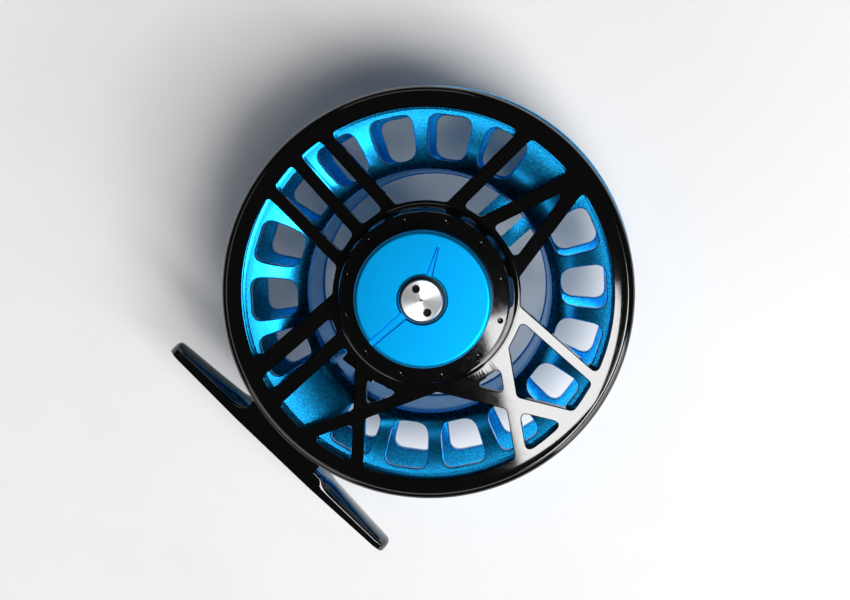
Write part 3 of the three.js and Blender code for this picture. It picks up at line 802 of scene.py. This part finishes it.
# ---- handle ----
def grip():
    """The handle's grip: waisted, with a flared end and a recess for its screw."""
    profile = [(2.3, -33.3), (4.5, -33.3), (4.85, -33.5), (5.0, -33.9)]
    for t in np.linspace(0, 1, 25)[1:]:
        z = -33.9 - 16.6 * t
        profile.append((5.0 - 1.15 * math.sin(math.pi * min(1, t * 1.6)) ** 1.5 + 1.0 * t**2.2, z))
    profile = [(min(r, 6.0), z) for r, z in profile]
    profile += [(5.9, -51.0), (5.6, -51.4), (5.2, -51.6), (3.6, -51.6), (3.6, -49.6), (2.3, -49.6)]
    return turned(profile, 96, polar(HANDLE_RADIUS, HANDLE_TURN))


place(grip(), "handle_grip", BLACK, "handle", "handle_knob")


# ---- CAD nodes that stay: smooth shading and their material ----
def smoothing_group():
    """Geometry nodes that weld a faceted mesh and shade it smooth between its sharp edges."""
    group = bpy.data.node_groups.new("smooth_turned_faces", "GeometryNodeTree")
    group.interface.new_socket("Geometry", in_out="INPUT", socket_type="NodeSocketGeometry")
    group.interface.new_socket("Geometry", in_out="OUTPUT", socket_type="NodeSocketGeometry")
    start = group.nodes.new("NodeGroupInput")
    weld = group.nodes.new("GeometryNodeMergeByDistance")
    weld.inputs["Distance"].default_value = 1e-6
    smooth = group.nodes.new("GeometryNodeSetShadeSmooth")
    sharp = group.nodes.new("GeometryNodeSetShadeSmooth")
    sharp.domain = "EDGE"
    sharp.inputs["Shade Smooth"].default_value = False
    angle = group.nodes.new("GeometryNodeInputMeshEdgeAngle")
    above = group.nodes.new("FunctionNodeCompare")
    above.operation = "GREATER_THAN"
    above.inputs["B"].default_value = math.radians(SHARP)
    end = group.nodes.new("NodeGroupOutput")
    link = group.links.new
    link(start.outputs[0], weld.inputs["Geometry"])
    link(weld.outputs["Geometry"], smooth.inputs["Geometry"])
    link(smooth.outputs["Geometry"], sharp.inputs["Geometry"])
    link(angle.outputs["Unsigned Angle"], above.inputs["A"])
    link(above.outputs["Result"], sharp.inputs["Selection"])
    link(sharp.outputs["Geometry"], end.inputs[0])
    return group


SMOOTH = smoothing_group()
KEPT = {
    STEEL: """foot_screw_left foot_screw_right spindle spindle_nut thrust_spider detent_ball
        detent_spring spring_washer_upper spring_washer_lower pressure_plate rotor_plate reaction_plate
        drag_rotor roller_clutch rotor_bearing pawl_pin pawl_spring spool_bearing_rear
        spool_bearing_front release_spring handle_post handle_washer handle_screw counterweight
        counterweight_screw release_button""",
    BLACK: "hub_cap drag_cover",
    CARBON: "friction_disc_1 friction_disc_2 friction_disc_3 friction_disc_4",
    RUBBER: "knob_cap_washer cover_seal",
    BRASS: "click_gear click_pawl",
}
for material, names in KEPT.items():
    for name in names.split():
        node = nodes[name]
        node.data.materials.clear()
        node.data.materials.append(material)
        node.modifiers.new("smooth", "NODES").node_group = SMOOTH


# ---- floor, lights and camera ----
def row(x, y, z):
    """A point of the reel's own frame in the row frame."""
    return Vector((x, y + AXIS_Y, z + RING_Z)) / 1000


RIGHT = polar(1, 43.5)  # the camera's right and up, along the ring's plane
UP = polar(1, 133.5)


def from_camera_axes(right, up, height):
    x, y = RIGHT * right + UP * up
    return row(x, y, height)


def floor():
    m = Nodes("pale_floor")
    mottling = m.spread(m.noise(6, 5, 0.6), 0.52, 0.7, 0.0, 1.0)
    m.set(
        Base_Color=m.blend(mottling, (0.91, 0.903, 0.895, 1), (0.86, 0.855, 0.85, 1)),
        Roughness=m.spread(m.noise(40), 0.3, 0.7, 0.4, 0.5),
    )
    level = min(corner[2] for corner in cad_box)
    mesh = bpy.data.meshes.new("floor")
    mesh.from_pydata([(-3, -3, level), (3, -3, level), (3, 3, level), (-3, 3, level)], [], [(0, 1, 2, 3)])
    mesh.materials.append(m.material)
    made = bpy.data.objects.new("floor", mesh)
    bpy.context.scene.collection.objects.link(made)


def soft_light(name, where, size, radiance):
    """A rectangular light that faces the middle of the ring."""
    data = bpy.data.lights.new(name, "AREA")
    data.shape = "RECTANGLE"
    data.size, data.size_y = size
    data.energy = math.pi * size[0] * size[1] * radiance
    made = bpy.data.objects.new(name, data)
    made.location = where
    made.rotation_euler = (row(0, 0, 0) - where).to_track_quat("-Z", "Y").to_euler()
    bpy.context.scene.collection.objects.link(made)


floor()
soft_light("key", from_camera_axes(1000, -850, 2200), (1.2, 1.4), 11.2)
soft_light("window", from_camera_axes(40, -152, 1000), (0.106, 0.125), 11.5)
soft_light("overhead", from_camera_axes(420, -190, 1250), (0.3, 0.5), 1.7)
soft_light("low_right", from_camera_axes(1900, -1500, 1200), (1.6, 1.6), 2.4)
soft_light("low_left", from_camera_axes(-1500, -1700, 1900), (1.6, 1.2), 1.3)
soft_light("upper", from_camera_axes(-500, 2300, 2600), (1.8, 1.0), 0.6)

world = bpy.data.worlds.new("studio")
bpy.context.scene.world = world
world.use_nodes = True
world.node_tree.nodes["Background"].inputs["Color"].default_value = (1, 1, 1, 1)
world.node_tree.nodes["Background"].inputs["Strength"].default_value = 0.03

DISTANCE = 426  # from the middle of the ring to the camera
OFF_AXIS = math.radians(6.41)
camera = bpy.data.objects.new("camera", bpy.data.cameras.new("camera"))
camera.data.sensor_width = 36
camera.data.lens = 79
camera.data.clip_start = 0.01
x, y = polar(DISTANCE * math.sin(OFF_AXIS), 94.7)
position = row(x, y, DISTANCE * math.cos(OFF_AXIS))
back = (position - row(0.6, -1.1, 0)).normalized()
upward = Vector((*UP, 0))
upward = (upward - back * upward.dot(back)).normalized()
turn = Matrix((upward.cross(back), upward, back)).transposed().to_4x4()
camera.matrix_world = Matrix.Translation(position) @ turn
bpy.context.scene.collection.objects.link(camera)
bpy.context.scene.camera = camera
bpy.context.scene.view_settings.view_transform = "Standard"
